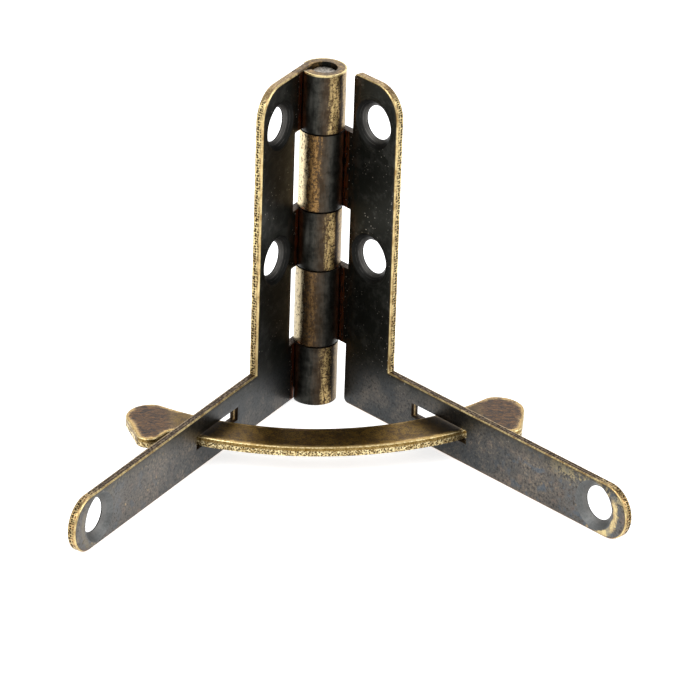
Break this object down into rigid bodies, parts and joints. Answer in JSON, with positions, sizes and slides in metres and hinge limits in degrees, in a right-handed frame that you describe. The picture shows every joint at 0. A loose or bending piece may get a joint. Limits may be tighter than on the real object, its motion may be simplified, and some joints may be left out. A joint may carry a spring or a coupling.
{
  "type": "quadrant stop hinge",
  "caption": "Small L-shaped box hinge with rolled knuckles on a pin and a curved flat stay that slides through slotted arms and stops the lid.",
  "frame": {"origin": "on the pin's axis, level with the lower edges of the barrel and both arms", "axes": "+Z along the pin, up the barrel; the leaves open towards -Y, each 36 degrees from it at rest; +X to the right leaf's side"},
  "size_m": [0.0452, 0.0303, 0.03],
  "materials": {
    "left_leaf_steel": "antique bronze plating over steel sheet, rubbed bright on the edges",
    "right_leaf_steel": "antique bronze plating over steel sheet, rubbed bright on the edges",
    "pin_steel": "dark plated wire",
    "stay_steel": "antique bronze plating, mottled brown and gold"
  },
  "bodies": {
    "left_leaf": {"left_leaf": "left_leaf_steel", "hinge_pin": "pin_steel"},
    "right_leaf": {"right_leaf": "right_leaf_steel"},
    "stay": {"stay": "stay_steel"}
  },
  "joints": [
    {"name": "leaf_hinge", "type": "hinge", "parent": "left_leaf", "child": "right_leaf", "pos_m": [0, 0, 0], "axis": [0, 0, 1], "range_deg": [-72, 13]},
    {"name": "stay_swing", "type": "hinge", "parent": "left_leaf", "child": "stay", "pos_m": [0, 0, 0], "axis": [0, 0, 1], "range_deg": [-36, 6.5]}
  ],
  "couplings": [
    {"joint": "stay_swing", "follows": "leaf_hinge", "ratio": 0.5}
  ]
}
